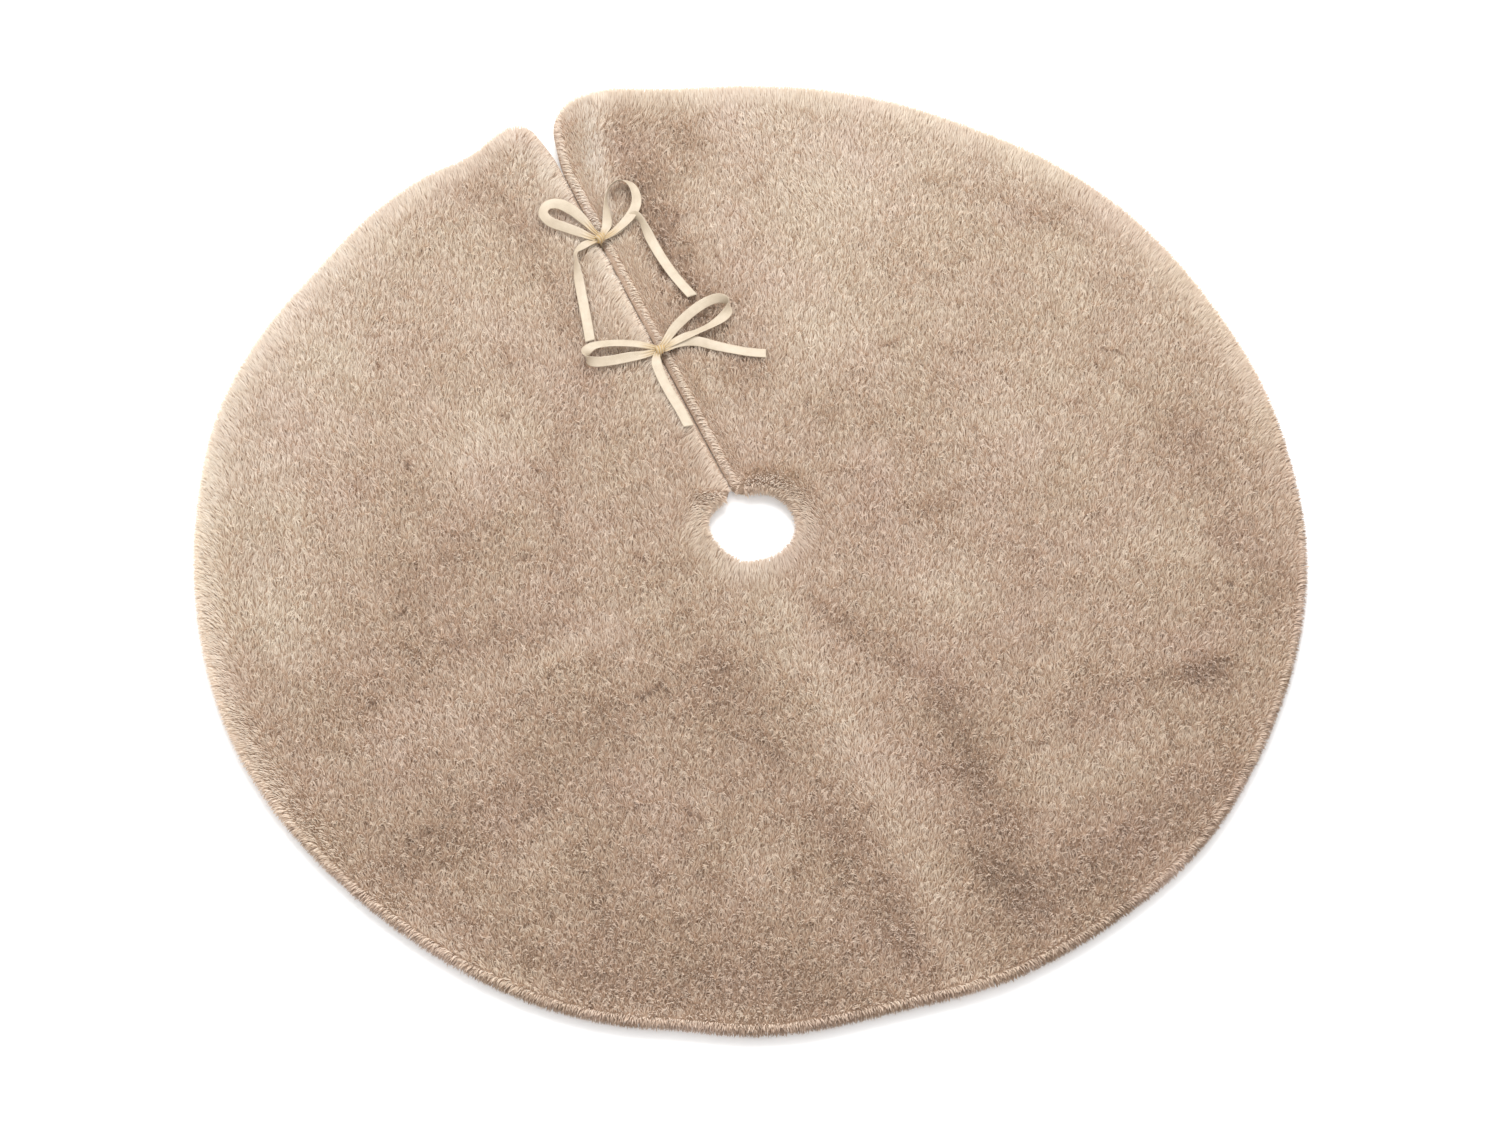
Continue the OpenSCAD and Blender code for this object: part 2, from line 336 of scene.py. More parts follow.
class Nodes:
    """A material under construction, with short ways to add nodes."""

    def __init__(self, name):
        self.material = bpy.data.materials.new(name)
        self.material.use_nodes = True
        self.tree = self.material.node_tree
        self.shader = self.tree.nodes["Principled BSDF"]

    def add(self, kind, **inputs):
        node = self.tree.nodes.new(kind)
        for key, value in inputs.items():
            self.feed(node.inputs[key.replace("_", " ")], value)
        return node

    def feed(self, socket, value):
        if isinstance(value, bpy.types.NodeSocket):
            self.tree.links.new(value, socket)
        else:
            socket.default_value = value

    def attribute(self, name, output="Fac"):
        node = self.tree.nodes.new("ShaderNodeAttribute")
        node.attribute_name = name
        return node.outputs[output]

    def math(self, operation, a, b=0.0, clamp=False):
        node = self.tree.nodes.new("ShaderNodeMath")
        node.operation = operation
        node.use_clamp = clamp
        self.feed(node.inputs[0], a)
        self.feed(node.inputs[1], b)
        return node.outputs[0]

    def noise(self, vector, scale, detail=2.0, roughness=0.5):
        node = self.add("ShaderNodeTexNoise", Vector=vector, Scale=scale, Detail=detail, Roughness=roughness)
        return node.outputs["Fac"]

    def stretched(self, vector, scale):
        node = self.tree.nodes.new("ShaderNodeVectorMath")
        node.operation = "MULTIPLY"
        self.feed(node.inputs[0], vector)
        self.feed(node.inputs[1], scale)
        return node.outputs[0]

    def ramp(self, factor, stops):
        node = self.tree.nodes.new("ShaderNodeValToRGB")
        self.feed(node.inputs[0], factor)
        elements = node.color_ramp.elements
        while len(elements) < len(stops):
            elements.new(0.5)
        for element, (position, colour) in zip(elements, stops):
            element.position = position
            element.color = colour
        return node.outputs["Color"]

    def mix(self, factor, a, b):
        node = self.tree.nodes.new("ShaderNodeMix")
        node.data_type = "RGBA"
        # inputs 6 and 7 and output 2 are the ones for colours
        self.feed(node.inputs[0], factor)
        self.feed(node.inputs[6], a)
        self.feed(node.inputs[7], b)
        return node.outputs[2]

    def bump(self, height, strength, distance):
        node = self.add("ShaderNodeBump", Height=height, Strength=strength, Distance=distance)
        self.tree.links.new(node.outputs["Normal"], self.shader.inputs["Normal"])

    def finish(self, **settings):
        for key, value in settings.items():
            self.feed(self.shader.inputs[key.replace("_", " ")], value)
        return self.material


def hair_material():
    """Plush hairs: painted shade towards the root, with a tone and a hue that vary from hair to hair."""
    m = Nodes("plush_hair")
    # the tone attribute carries painted light and shade as well as the pile's own tone
    tone = m.attribute("tone")
    along = m.attribute("along")
    shade = m.ramp(tone, [(0.0, srgb(150, 127, 107)), (0.13, srgb(198, 177, 158)),
                          (0.35, srgb(223, 204, 184)), (0.65, srgb(241, 228, 210)),
                          (1.0, srgb(252, 246, 235))])
    hue = m.noise(m.attribute("rest", "Vector"), 0.012, 3.0)
    warm = m.mix(m.math("SUBTRACT", hue, 0.4, clamp=True), shade, srgb(236, 214, 205))
    # painted shade: near the root each hair is mixed towards a darker beige
    root_shaded = m.mix(m.math("MULTIPLY", m.math("SUBTRACT", 1.0, along), 0.25), warm, srgb(208, 182, 160))
    return m.finish(Base_Color=root_shaded, Roughness=0.85, Sheen_Weight=0.25, Sheen_Roughness=0.4,
                    Specular_IOR_Level=0.2)


def undercoat_material():
    """The dense short hairs between the long ones, coloured darker as painted shade deep in the pile."""
    m = Nodes("plush_undercoat")
    rest = m.attribute("rest", "Vector")
    grain = m.noise(rest, 0.9, 3.0, 0.7)
    # painted shade: darker than the hairs, for the shadowed roots
    colour = m.ramp(grain, [(0.3, srgb(163, 138, 118)), (0.7, srgb(201, 177, 157))])
    m.bump(grain, 0.6, 0.002)
    return m.finish(Base_Color=colour, Roughness=0.95, Specular_IOR_Level=0.1)


def weave_material(name, light, dark, threads, strength, roughness, sheen):
    """Plain woven cloth with threads per mm in both directions."""
    m = Nodes(name)
    rest = m.attribute("rest", "Vector")
    turn = 2 * math.pi * threads
    parts = m.add("ShaderNodeSeparateXYZ", Vector=rest)
    warp = m.math("SINE", m.math("MULTIPLY", parts.outputs[0], turn))
    weft = m.math("SINE", m.math("MULTIPLY", parts.outputs[1], turn))
    woven = m.math("MULTIPLY", warp, weft)
    slub = m.noise(m.stretched(rest, (0.02, 0.5, 0.02)), 1.0, 3.0)
    blotch = m.noise(rest, 0.012, 4.0)
    creases = m.noise(m.stretched(rest, (0.006, 0.02, 0.02)), 1.0, 3.0, 0.6)
    height = m.math("ADD", m.math("MULTIPLY", woven, 0.35),
                    m.math("ADD", slub, m.math("MULTIPLY", creases, 14.0)))
    factor = m.math("ADD", m.math("MULTIPLY", woven, 0.12),
                    m.math("ADD", m.math("MULTIPLY", slub, 0.5), m.math("MULTIPLY", blotch, 0.5)))
    colour = m.ramp(factor, [(0.25, dark), (0.7, light)])
    m.bump(height, strength, 0.0004)
    return m.finish(Base_Color=colour, Roughness=roughness, Sheen_Weight=sheen, Specular_IOR_Level=0.3)


def ribbon_material():
    """Ivory satin with fine threads along its length, with painted ochre shade in the folds where it is
    gathered.
    """
    m = Nodes("ivory_satin")
    along, across = m.attribute("along"), m.attribute("across")
    place = m.add("ShaderNodeCombineXYZ", X=across, Y=along, Z=0.0).outputs[0]
    threads = m.noise(m.stretched(place, (6.0, 0.05, 1.0)), 1.0, 2.0, 0.7)
    picks = m.noise(m.stretched(place, (0.6, 3.5, 1.0)), 1.0, 1.0)
    cloud = m.noise(m.attribute("rest", "Vector"), 0.12, 2.0)
    factor = m.math("ADD", m.math("MULTIPLY", threads, 0.45),
                    m.math("ADD", m.math("MULTIPLY", cloud, 0.4), m.math("MULTIPLY", picks, 0.15)))
    cream = m.ramp(factor, [(0.3, srgb(181, 164, 141)), (0.62, srgb(204, 189, 167))])
    # painted shade: ochre in the folds of the gathered ribbon and of the knots
    cream_with_fold_shade = m.mix(m.attribute("gather_and_shade"), cream, srgb(190, 158, 102))
    m.bump(m.math("ADD", threads, m.math("MULTIPLY", picks, 0.5)), 0.35, 0.0003)
    return m.finish(Base_Color=cream_with_fold_shade, Roughness=0.42, Sheen_Weight=0.15, Sheen_Roughness=0.3,
                    Specular_IOR_Level=0.45)


def thread_material():
    """Twisted sewing thread."""
    m = Nodes("sewing_thread")
    twist = m.noise(m.stretched(m.attribute("rest", "Vector"), (2.5, 2.5, 6.0)), 1.0, 2.0)
    colour = m.ramp(twist, [(0.3, srgb(206, 188, 160)), (0.7, srgb(240, 228, 206))])
    m.bump(twist, 0.5, 0.0004)
    return m.finish(Base_Color=colour, Roughness=0.6, Sheen_Weight=0.2)


def label_material():
    """Blank satin tape."""
    m = Nodes("label_tape")
    rest = m.attribute("rest", "Vector")
    ribs = m.noise(m.stretched(rest, (0.3, 6.0, 1.0)), 1.0, 2.0)
    colour = m.ramp(ribs, [(0.3, srgb(232, 231, 226)), (0.7, srgb(250, 249, 246))])
    m.bump(ribs, 0.3, 0.0003)
    return m.finish(Base_Color=colour, Roughness=0.4, Sheen_Weight=0.1)


# -- fur --

# painted light and shade of the pile's ridges, hollows and brushed patches: x, y, half length, half width,
# direction, amount
PILE_LIGHT_AND_SHADE = [
    # the ridge that continues the slit's line, with a painted highlight on it and painted shade in a hollow
    # on each side
    (-12, -300, 230, 30, 90, 0.19), (-14, -210, 120, 8, 90, 0.07), (0, -430, 90, 30, 84, 0.05),
    (30, -125, 42, 13, -60, -0.15), (68, -195, 45, 14, -65, -0.16), (84, -270, 60, 15, 90, -0.18),
    (74, -350, 60, 18, 102, -0.18), (56, -440, 60, 20, 100, -0.20),
    (-95, -130, 60, 12, 92, -0.10), (-84, -225, 70, 14, 84, -0.14), (-66, -335, 70, 15, 80, -0.16),
    (-50, -440, 70, 16, 82, -0.18),
    # lower left
    (-182, -145, 60, 8, 84, 0.08), (-160, -245, 60, 9, 72, 0.08), (-142, -340, 40, 32, 80, 0.15),
    (-380, -86, 60, 9, 8, 0.10), (-270, -67, 70, 9, 8, 0.12), (-140, -47, 80, 9, 3, 0.10),
    (-350, -190, 110, 32, 4, -0.13), (-200, -140, 90, 40, 0, -0.12), (-440, -200, 45, 22, 20, -0.10),
    (-322, -240, 28, 24, 60, 0.10), (-292, -320, 36, 12, 70, -0.12), (-345, -355, 80, 14, -45, -0.12),
    (-215, -440, 80, 22, -28, -0.14), (-120, -160, 30, 60, 0, -0.08),
    # upper left
    (-300, 370, 100, 70, 40, 0.14), (-425, 250, 60, 95, 0, 0.16), (-205, 190, 50, 48, 0, 0.14),
    (-455, 90, 40, 90, 0, 0.16), (-125, 165, 50, 13, 55, -0.14), (-168, 75, 55, 13, 75, -0.13),
    (-275, 80, 62, 45, 0, -0.12), (-285, 168, 30, 34, 0, -0.12), (-414, -20, 48, 34, 0, -0.12),
    (-258, -12, 70, 24, 0, -0.12), (-340, 40, 14, 90, -8, -0.08), (-400, 170, 8, 80, -20, 0.06),
    # beside the slit
    (-66, 330, 120, 17, 88, -0.18), (-72, 450, 60, 20, 92, -0.20), (-100, 475, 30, 22, 90, -0.14),
    (-12, 300, 130, 15, 90, 0.10), (13, 300, 130, 10, 90, 0.04),
    (60, 330, 110, 22, 91, -0.34), (76, 430, 62, 28, 82, -0.30), (128, 452, 44, 26, 95, -0.30),
    (80, 500, 40, 18, 60, -0.20), (64, 165, 26, 28, 0, -0.16), (60, 240, 40, 30, 0, -0.14),
    (36, 470, 62, 19, 74, 0.36), (-24, 478, 44, 12, 108, 0.16),
    # right
    (250, 360, 90, 60, -30, 0.08), (165, 180, 50, 60, 0, 0.10), (205, 300, 60, 60, 0, 0.06),
    (118, 84, 20, 18, 0, -0.14), (174, -56, 24, 16, 0, -0.20), (179, 22, 18, 14, 0, -0.14),
    (157, 62, 20, 14, 30, -0.10), (350, 285, 55, 16, 140, -0.12), (425, 205, 45, 20, 125, -0.12),
    (440, 105, 26, 8, 130, -0.12), (425, -140, 150, 26, 90, -0.15), (280, -20, 60, 55, 0, 0.13),
    (140, -140, 48, 44, 0, 0.12), (190, -268, 54, 10, 42, 0.10), (325, -325, 26, 18, -15, -0.30),
    (265, -312, 60, 12, -12, -0.12), (190, -368, 92, 30, 0, 0.15), (165, -452, 140, 26, 8, -0.16),
    (350, -190, 60, 60, 0, 0.06)]


def painted_edge_light_and_shade(x, y):
    """Painted light and shade near the edges: paler on the rounded rim, darker in the hole, where the floor
    shines.
    """
    distance = open_distance(x, y)
    # painted light on the rounded rim, stronger on the left
    outer = (0.06 - 0.0002 * x) * (1 - smoothstep(distance, 8, 34 - 0.03 * x))
    # painted shade round the hole
    inner = -0.12 * (1 - smoothstep(np.hypot(x, y), HOLE_R + 1, HOLE_R + 21))
    return outer + inner


def combed(x, y):
    """How far the pile is smoothed outwards, 0 to 1, on the rim, round the hole and on the slit's lips.

    The front of the rim is hardly combed.
    """
    rim = (1 - smoothstep(open_distance(x, y), 12, 42)) * (1 - 0.85 * smoothstep(-y, 0, 300))
    lip = 24 + np.where(x > 0, 22 * smoothstep(y, 420, 500), 4 * smoothstep(y, 420, 500))
    lips = np.where(y > 50, 1 - smoothstep(np.abs(x), 0.55 * lip, 1.2 * lip), 0)
    return np.maximum(rim, lips)


def partings(x, y):
    """Small marks where the pile has parted, as a negative amount, which the tone uses as painted shade."""
    rng = np.random.default_rng(17)
    count = 90
    turn = rng.uniform(0, 2 * math.pi, count)
    radius = 490 * np.sqrt(rng.uniform(0.05, 1, count))
    length = rng.uniform(2.5, 9, count)
    width = rng.uniform(1.4, 2.4, count)
    direction = rng.uniform(0, 180, count)
    amount = rng.uniform(-0.85, -0.35, count)
    return soft_spots(x, y, np.column_stack([radius * np.cos(turn), radius * np.sin(turn), length, width,
                                             direction, amount]))


def pile_tone(x, y):
    """Tone of the pile from 0, dark, to 1, pale, before each hair's own variation, with painted light and
    shade in it.
    """
    # painted light: paler towards the far side and the right, where the lamp is
    painted_light_slope = 0.49 + 0.00027 * y + 0.00006 * x
    patches = 0.05 * layered_noise(x, y, 60, 21, 3) + 0.03 * noise(x, y, 9, 31)
    # painted light and shade: the spots, the partings' dark gaps and the edges; the patches are the pile's
    # own tone
    return painted_light_slope + patches + 0.8 * soft_spots(x, y, PILE_LIGHT_AND_SHADE) + partings(x, y) + painted_edge_light_and_shade(x, y)


def nap(x, y, tone):
    """How the pile leans, along X and Y: pale places are brushed away from the viewer, dark ones are not."""
    turn = 1.14 + 0.7 * noise(x, y, 140, 41) + 0.5 * noise(x, y, 32, 43)
    lean = np.clip(1.3 * (tone - 0.38), -0.25, 0.75) + 0.10 * noise(x, y, 22, 44)
    return lean[:, None] * np.stack([np.cos(turn), np.sin(turn)], -1)


def tuft_height(x, y):
    return noise(x, y, 5.2, 51) + 0.5 * noise(x, y, 3.1, 52)


def tufts(x, y):
    """Pull of the hairs towards the middles of their tufts."""
    return 1.2 * slope(tuft_height, x, y, 0.8)


def hair_blades(rng, root, normal, lean, reach, width):
    """Tapered blades of two faces each, that leave the skin along the normal and bend with the lean."""
    first = unit(normal + 0.5 * lean)
    second = unit(0.8 * normal + 1.2 * lean)
    length = reach / (0.5 * (first * normal).sum(-1) + 0.5 * (second * normal).sum(-1)).clip(0.35)
    middle = root + 0.5 * length[:, None] * first
    tip = middle + 0.5 * length[:, None] * second
    flat = unit(np.cross(second, normal) + 0.02)
    roll = rng.uniform(-0.5, 0.5, len(root))[:, None]
    across = unit(flat * np.cos(roll) + np.cross(second, flat) * np.sin(roll))
    half = 0.5 * width[:, None] * across
    points = np.stack([root - half, root + half, middle - 0.9 * half, middle + 0.9 * half, tip], 1)
    points[:, :, 2] = np.maximum(points[:, :, 2], 0.3 + 0.5 * rng.random((len(root), 1)))
    return points


def top_roots(rng):
    """Hair roots on the flat of the skin, and the skin's normal at each."""
    steps = np.arange(-SKIRT_R - 15, SKIRT_R + 15, TOP_SPACING)
    x, y = (g.ravel() for g in np.meshgrid(steps, steps))
    x = x + rng.uniform(-0.48, 0.48, len(x)) * TOP_SPACING
    y = y + rng.uniform(-0.48, 0.48, len(y)) * TOP_SPACING
    keep = edge_distance(x, y) > ROUND_R
    x, y = x[keep], y[keep]
    normal = unit(np.column_stack([-slope(lift, x, y, 2.0), np.ones_like(x)]))
    root = np.stack([x, y, PILE_TOP - HAIR_DEPTH + lift(x, y)], -1)
    return root, normal


def edge_line():
    """Points along the middle of the fur's rounded edge, with the outward direction at each."""
    closed, run = outline(*plan_grid(ROUND_R, ROUND_R, ROUND_R, angular=360, radial=200))
    even = np.arange(0, run[-1], EDGE_SPACING)
    x, y = np.interp(even, run, closed[:, 0]), np.interp(even, run, closed[:, 1])
    return x, y, -unit(slope(edge_distance, x, y, 0.5))


def edge_roots(rng):
    """Hair roots on the rounded edge of the skin, from under the rim to its top, with normal and pitch."""
    x, y, outward = edge_line()
    rows = np.arange(-72, 90, math.degrees(EDGE_SPACING / ROUND_R))
    x = np.tile(x, len(rows)) + rng.uniform(-0.5, 0.5, len(rows) * len(x)) * EDGE_SPACING * 0.7
    y = np.tile(y, len(rows)) + rng.uniform(-0.5, 0.5, len(x)) * EDGE_SPACING * 0.7
    outward = np.tile(outward, (len(rows), 1))
    pitch = np.radians(np.repeat(rows, len(x) // len(rows)) + rng.uniform(-4, 4, len(x)))
    normal = np.concatenate([outward * np.cos(pitch)[:, None], np.sin(pitch)[:, None]], 1)
    root = np.stack([x, y, ROUND_Z + lift(x, y)], -1) + SKIN_R * normal
    return root, normal, pitch


def top_hairs(rng, root):
    """Lean, reach and tone of the hairs on the flat."""
    x, y = root[:, 0], root[:, 1]
    mean_tone = pile_tone(x, y)
    smooth = combed(x, y)[:, None]
    loose = tufts(x, y) + rng.normal(0, 0.22, (len(x), 2))
    right_lip = (x > 0) & (x < 60) & (y > 50)
    brushed = np.where(right_lip, 0.3, 0.85)[:, None]
    lean = np.zeros((len(x), 3))
    lean[:, :2] = nap(x, y, mean_tone) * (1 - 0.5 * smooth) + loose * (1 - 0.75 * smooth)
    lean[:, :2] -= brushed * slope(edge_distance, x, y, 1.0) * smooth
    reach = HAIR_DEPTH * (1 + 0.06 * noise(x, y, 5.2, 51) + rng.normal(0, 0.06, len(x)))
    reach *= (1 + 0.9 * partings(x, y)).clip(0.4)
    tone = mean_tone + rng.normal(0, 0.06, len(x)) + 0.06 * noise(x, y, 4, 61)
    return lean, reach, tone


def edge_hairs(rng, root, normal, pitch):
    """Lean, reach and tone of the hairs on the rounded edge, with painted shade low down and at the front.

    Where the slit is tied shut, the hairs are shorter and its line wanders a little from side to side.
    """
    x, y = root[:, 0], root[:, 1]
    at_slit = (np.abs(x) < 14) & (y > TIED_LOW) & (y < TIED_HIGH)
    front = smoothstep(-y, -100, 200)
    low = 1 - smoothstep(np.degrees(pitch), 10, 110)
    # painted shade: the lower side and the front of the rounded edge are darkened, except where the slit is
    # tied
    tone = pile_tone(x, y) - (0.1 + 0.38 * front) * low * (1 - at_slit) + rng.normal(0, 0.08, len(x))
    lean = np.zeros((len(x), 3))
    lean[:, :2] = 0.25 * nap(x, y, tone) + rng.normal(0, 0.2, (len(x), 2))
    lean[:, :2] += 0.8 * unit(normal[:, :2]) * np.sin(pitch).clip(0)[:, None]
    lean[:, 2] = -np.where(at_slit, 0.3, 0.2) * np.cos(pitch) + rng.normal(0, 0.2, len(x))
    reach = HAIR_DEPTH * (1 + rng.normal(0, 0.08, len(x)))
    still = np.zeros_like(y)
    wander = 3.0 * noise(y, still, 30, 71) + 1.2 * noise(y, still, 8, 72)
    reach -= np.where(at_slit, np.sign(x) * wander * np.cos(pitch) + 1.2, 0)
    return lean, reach, tone


def fur():
    """The standing pile: single hairs on the flat and round the edge, in eight pieces."""
    rng = np.random.default_rng(7)
    top, top_normal = top_roots(rng)
    edge, edge_normal, pitch = edge_roots(rng)
    each = zip(top_hairs(rng, top), edge_hairs(rng, edge, edge_normal, pitch))
    lean, reach, tone = (np.concatenate(pair) for pair in each)
    root = np.concatenate([top, edge])
    normal = np.concatenate([top_normal, edge_normal])
    width = rng.uniform(0.8, 1.35, len(root))
    points = hair_blades(rng, root, normal, lean, reach, width)
    material = hair_material()
    shares = 4
    share = rng.integers(0, shares, len(root))
    pieces = []
    for half, here in (("left", root[:, 0] < 0), ("right", root[:, 0] >= 0)):
        for k in range(shares):
            chosen = here & (share == k)
            pieces.append(hair_piece(f"{half}_plush_hairs_{k + 1}", points[chosen], tone[chosen], material))
    return pieces


def hair_piece(name, points, tone, material):
    """One object of many hairs: two faces and five points each."""
    count = len(points)
    base = 5 * np.arange(count)[:, None]
    faces = [base + np.array([[0, 1, 3, 2]]), base + np.array([[2, 3, 4]])]
    attributes = {"tone": np.repeat(tone, 5), "along": np.tile([0, 0, 0.5, 0.5, 1.0], count)}
    piece = mesh_object(name, points.reshape(-1, 3), faces, attributes)
    map_hairs(piece, count)
    piece.data.materials.append(material)
    return fold_with_skirt(piece)


def map_hairs(piece, count):
    """Texture coordinates that give every hair its own cell of the piece's map."""
    cells = math.ceil(math.sqrt(count))
    column, row = np.arange(count) % cells, np.arange(count) // cells
    u = (column[:, None] + np.array([0.2, 0.8, 0.2, 0.8, 0.5])) / cells
    v = (row[:, None] + np.array([0.1, 0.1, 0.5, 0.5, 0.9])) / cells
    per_point = np.stack([u, v], -1).reshape(-1, 2)
    corner = np.empty(len(piece.data.loops), np.int32)
    piece.data.loops.foreach_get("vertex_index", corner)
    layer = piece.data.uv_layers.new(name="OFBake")
    layer.data.foreach_set("uv", per_point[corner].ravel().astype(np.float32))


def undercoat():
    """The closed body that the hairs grow through, with rounded edges."""
    slit_inset = 0.05
    x, y = plan_grid(HAIR_DEPTH, HAIR_DEPTH, slit_inset)
    from_slit = np.where(y > 0, np.abs(x) - slit_gap(np.sign(x), y) - slit_inset, FAR)
    share = np.minimum((open_distance(x, y) - HAIR_DEPTH) / SKIN_R, from_slit / 8).clip(0, 1)
    share[0], share[-1], share[:, 0], share[:, -1] = 0, 0, 0, 0
    bulge = np.sqrt(1 - (1 - share) ** 2)
    floor = lift(x, y)
    top = floor + ROUND_Z + SKIN_R * bulge + 0.05
    bottom = floor + ROUND_Z - (ROUND_Z - GROUND_HIGH[2] - 0.2) * bulge - 0.05
    piece = closed_slab("fur_undercoat", x, y, top, bottom)
    piece.data.materials.append(undercoat_material())
    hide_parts("left_fur_pile", "right_fur_pile")
    return fold_with_skirt(piece)


# -- cloth --


def cloth_layer(name, low, high, material, nodes):
    """A flat cloth of the skirt's shape, between two heights above the floor."""
    x, y = plan_grid(RIM_INSET, HOLE_INSET, SLIT_INSET)
    floor = lift(x, y)
    piece = closed_slab(name, x, y, floor + high, floor + low)
    piece.data.materials.append(material)
    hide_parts(*nodes)
    return fold_with_skirt(piece)


# -- stitches --


def capsule_row(name, starts, ends, radius, material):
    """Short thread stitches with rounded ends, one from each start to its end."""
    sides = 6
    a, b = np.asarray(starts, float), np.asarray(ends, float)
    direction = unit(b - a)
    helper = np.where(np.abs(direction[:, 2:]) < 0.9, [[0, 0, 1.0]], [[1.0, 0, 0]])
    u = unit(np.cross(direction, helper))
    v = np.cross(direction, u)
    length = np.linalg.norm(b - a, axis=1)[:, None, None]
    turn = np.arange(sides) * 2 * math.pi / sides
    ring = u[:, None, :] * np.cos(turn)[None, :, None] + v[:, None, :] * np.sin(turn)[None, :, None]
    rings = []
    for share, size in ((0.0, 0.45), (0.12, 0.9), (0.5, 1.0), (0.88, 0.9), (1.0, 0.45)):
        rings.append(a[:, None, :] + direction[:, None, :] * share * length + ring * radius * size)
    points = np.stack(rings, 1).reshape(-1, 3)
    base = (len(rings) * sides * np.arange(len(a)))[:, None, None]
    quads = (base + grid_faces(len(rings), sides, closed_columns=True)[None]).reshape(-1, 4)
    caps = np.concatenate([base[:, 0] + np.arange(sides)[None, ::-1],
                           base[:, 0] + (len(rings) - 1) * sides + np.arange(sides)[None, :]])
    piece = mesh_object(name, points, [quads, caps])
    piece.data.materials.append(material)
    return piece


def edge_seam(material):
    """The seam's thread, lying along the edge where the lining meets the fur fabric."""
    out = 0.4
    closed, run = outline(*plan_grid(RIM_INSET - out, HOLE_INSET - out, SLIT_INSET - out, angular=240,
                                     radial=120))
    pitch, stitch = 3.4, 2.8
    begin = np.arange(0, run[-1] - pitch, pitch)

    def at(s):
        px, py = np.interp(s, run, closed[:, 0]), np.interp(s, run, closed[:, 1])
        return np.stack([px, py, LINING_HIGH[2] + 0.1 + lift(px, py)], -1)

    thread_radius = 0.4
    piece = capsule_row("edge_seam_stitches", at(begin), at(begin + stitch), thread_radius, material)
    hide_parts("left_edge_seam", "right_edge_seam")
    return fold_with_skirt(piece)


# -- ribbons --


def smooth_line(points, steps):
    """A smooth line through rows of numbers, with this many steps between neighbours."""
    p = np.asarray(points, float)
    last = len(p) - 1
    rows = []
    for i in range(last):
        a, b, c, d = p[max(i - 1, 0)], p[i], p[i + 1], p[min(i + 2, last)]
        for k in range(steps):
            t = k / steps
            rows.append(0.5 * (2 * b + (c - a) * t + (2 * a - 5 * b + 4 * c - d) * t ** 2
                               + (3 * b - a - 3 * c + d) * t ** 3))
    rows.append(p[last])
    return np.array(rows)


def ribbon_strip(name, bow, stations, material, slant):
    """A ribbon through stations of x, y, z from its knot, roll in degrees (0 on edge, 90 flat) and width."""
    rows = smooth_line(stations, 8)
    middle = rows[:, :3] + np.array([KNOT_CENTRE[bow][0], KNOT_CENTRE[bow][1], 0])
    tangent = unit(np.gradient(middle, axis=0))
    side = unit(np.cross([0, 0, 1.0], tangent))
    roll = np.radians(rows[:, 3])[:, None]
    across = np.cos(roll) * np.array([0, 0, 1.0]) + np.sin(roll) * side
    points, faces, attributes, run = band(middle, across, rows[:, 4], slant)
    piece = mesh_object(name, points, faces, attributes)
    piece.data.materials.append(material)
    return piece, run


def band(middle, across, width, slant=0.0, start=0):
    """Points, faces and attributes of a ribbon along a line, pleated where it is narrower than it is cut."""
    tangent = unit(np.gradient(middle, axis=0))
    across = unit(across - (across * tangent).sum(1)[:, None] * tangent)
    normal = np.cross(tangent, across)
    run = run_along(middle)
    shares = np.linspace(-0.5, 0.5, 13)
    gather_and_shade = 1 - smoothstep(width, 4.5, 9.5)
    wave = np.cos(shares * 5 * math.pi + 0.6)
    cup = 0.35 * (1 - (2 * shares) ** 2)[None, :] + 0.75 * gather_and_shade[:, None] * wave[None, :]
    shift = slant * shares[None, :, None] * smoothstep(run, run[-1] - 12, run[-1])[:, None, None]
    surface = (middle[:, None, :] + across[:, None, :] * (width[:, None] * shares[None, :])[:, :, None]
               + normal[:, None, :] * cup[:, :, None] + tangent[:, None, :] * shift)
    front = surface + 0.5 * RIBBON_T * normal[:, None, :]
    back = surface - 0.5 * RIBBON_T * normal[:, None, :]
    ring = np.concatenate([front, back[:, ::-1]], 1)
    rows, columns = ring.shape[:2]
    half = columns // 2
    caps = []
    for first, flip in ((0, False), ((rows - 1) * columns, True)):
        k = np.arange(half - 1)
        cap = np.stack([k, k + 1, columns - 2 - k, columns - 1 - k], -1) + first
        caps.append((cap[:, ::-1] if flip else cap) + start)
    faces = [grid_faces(rows, columns, start, closed_columns=True, flip=True), *caps]
    both = np.concatenate([shares, shares[::-1]])
    folds = np.concatenate([wave, wave[::-1]])
    # the last attribute is painted shade, deepest in the pleats' folds where the ribbon is gathered
    attributes = {"along": np.repeat(run, columns),
                  "across": (width[:, None] * both[None, :]).ravel(),
                  "gather_and_shade": (gather_and_shade[:, None] * (0.55 - 0.35 * folds[None, :])).ravel()}
    return ring.reshape(-1, 3), faces, attributes, float(run[-1])


